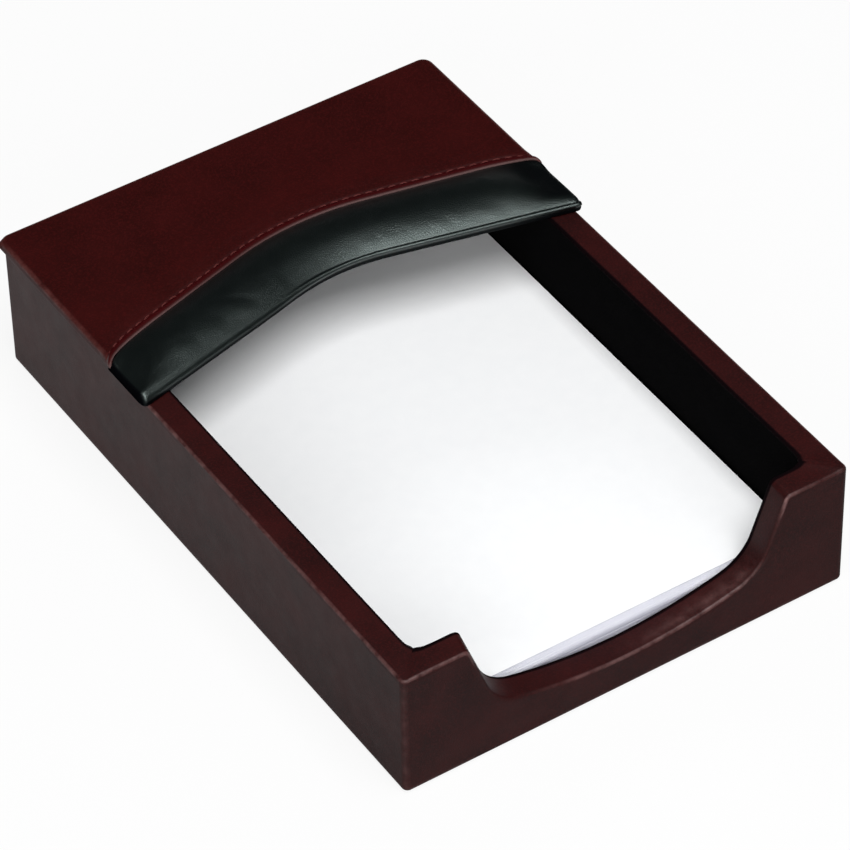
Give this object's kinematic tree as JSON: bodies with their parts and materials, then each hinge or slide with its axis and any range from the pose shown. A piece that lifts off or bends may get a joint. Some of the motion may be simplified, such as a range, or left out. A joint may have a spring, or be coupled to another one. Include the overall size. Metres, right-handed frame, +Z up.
{
  "type": "memo sheet tray",
  "caption": "Desk tray for loose memo sheets, leather over board, with a thumb notch in the front wall and a fixed rear cover that ends in a padded, arched lip.",
  "frame": {"origin": "in the resting plane, under the middle of the four walls, on the underside of the felt", "axes": "+Z up, +Y towards the rear wall and the cover, +X to the right when looking from the thumb notch"},
  "size_m": [0.123, 0.1758, 0.0393],
  "materials": {
    "board": "raw fibreboard",
    "felt": "matt felt",
    "lining": "matt suede-finish lining",
    "wall_leather": "smooth satin, dark burgundy",
    "cover_leather": "smooth satin, burgundy",
    "lip_leather": "soft satin, black",
    "foam": "open foam sheet",
    "thread": "bonded sewing thread",
    "paper": "plain white writing paper"
  },
  "bodies": {
    "tray": {"base_board": "board", "base_felt": "felt", "floor_lining": "lining", "front_wall_board": "board", "front_wall_lining": "lining", "front_wall_leather": "wall_leather", "rear_wall_board": "board", "rear_wall_lining": "lining", "rear_wall_leather": "wall_leather", "left_wall_board": "board", "left_wall_lining": "lining", "left_wall_leather": "wall_leather", "right_wall_board": "board", "right_wall_lining": "lining", "right_wall_leather": "wall_leather", "cover_board": "board", "cover_leather": "cover_leather", "cover_lining": "lining", "lip_padding": "foam", "lip_leather": "lip_leather", "seam_stitching": "thread"},
    "sheets": {"memo_sheets": "paper"}
  },
  "joints": [
    {"name": "sheets_lift", "type": "hinge", "parent": "tray", "child": "sheets", "pos_m": [0, 0.0731, 0.0046], "axis": [-1, 0, 0], "range_deg": [0, 22]}
  ]
}
